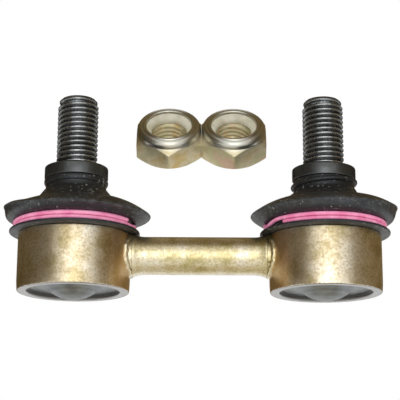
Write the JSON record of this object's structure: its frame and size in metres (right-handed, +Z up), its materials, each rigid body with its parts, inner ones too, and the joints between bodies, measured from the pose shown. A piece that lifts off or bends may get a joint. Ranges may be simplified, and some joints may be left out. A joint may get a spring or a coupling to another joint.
{
  "type": "stabilizer link",
  "caption": "Short stabilizer link: threaded ball studs in round housings at each end of a welded bar, with rubber boots, wire clips and loose nylon-insert lock nuts.",
  "frame": {"origin": "midway between the two studs, on the plane of the housing rims that the link stands on", "axes": "+Z up along the studs, +X along the bar to the right-hand joint, -Y towards the picture's viewer"},
  "size_m": [0.0998, 0.0379, 0.0524],
  "materials": {
    "yellow_zinc": "yellow zinc plate",
    "plug_steel": "bare pressed steel",
    "seat_plastic": "moulded acetal",
    "stud_steel": "black phosphate",
    "boot_rubber": "matt moulded",
    "clip_pink": "gloss coat",
    "nut_zinc": "pale yellow zinc plate",
    "insert_nylon": "moulded nylon"
  },
  "bodies": {
    "link": {"link_bar": "yellow_zinc", "left_weld": "yellow_zinc", "left_housing": "yellow_zinc", "left_end_plug": "plug_steel", "left_boot_clip": "clip_pink", "right_weld": "yellow_zinc", "right_housing": "yellow_zinc", "right_end_plug": "plug_steel", "right_boot_clip": "clip_pink"},
    "left_seat": {"left_lower_seat": "seat_plastic", "left_upper_seat": "seat_plastic"},
    "left_boot": {"left_boot": "boot_rubber"},
    "left_stud": {"left_ball_stud": "stud_steel"},
    "left_nut": {"left_nut": "nut_zinc", "left_nut_insert": "insert_nylon"},
    "right_seat": {"right_lower_seat": "seat_plastic", "right_upper_seat": "seat_plastic"},
    "right_boot": {"right_boot": "boot_rubber"},
    "right_stud": {"right_ball_stud": "stud_steel"},
    "right_nut": {"right_nut": "nut_zinc", "right_nut_insert": "insert_nylon"}
  },
  "joints": [
    {"name": "left_swing_direction", "type": "hinge", "parent": "link", "child": "left_seat", "pos_m": [-0.0315, 0, 0.0098], "axis": [0, 0, 1], "continuous": true},
    {"name": "left_swing", "type": "hinge", "parent": "left_seat", "child": "left_boot", "pos_m": [-0.0315, 0, 0.0098], "axis": [0, 1, 0], "range_deg": [-17, 17], "deforming": ["left_boot"]},
    {"name": "left_stud_spin", "type": "hinge", "parent": "left_boot", "child": "left_stud", "pos_m": [-0.0315, 0, 0.0098], "axis": [0, 0, 1], "continuous": true},
    {"name": "left_nut_lift", "type": "slide", "parent": "link", "child": "left_nut", "axis": [0, 0.6018, 0.7986], "range_m": [0, 0.05]},
    {"name": "right_swing_direction", "type": "hinge", "parent": "link", "child": "right_seat", "pos_m": [0.0315, 0, 0.0098], "axis": [0, 0, 1], "continuous": true},
    {"name": "right_swing", "type": "hinge", "parent": "right_seat", "child": "right_boot", "pos_m": [0.0315, 0, 0.0098], "axis": [0, 1, 0], "range_deg": [-17, 17], "deforming": ["right_boot"]},
    {"name": "right_stud_spin", "type": "hinge", "parent": "right_boot", "child": "right_stud", "pos_m": [0.0315, 0, 0.0098], "axis": [0, 0, 1], "continuous": true},
    {"name": "right_nut_lift", "type": "slide", "parent": "link", "child": "right_nut", "axis": [0, 0.6018, 0.7986], "range_m": [0, 0.05]}
  ]
}
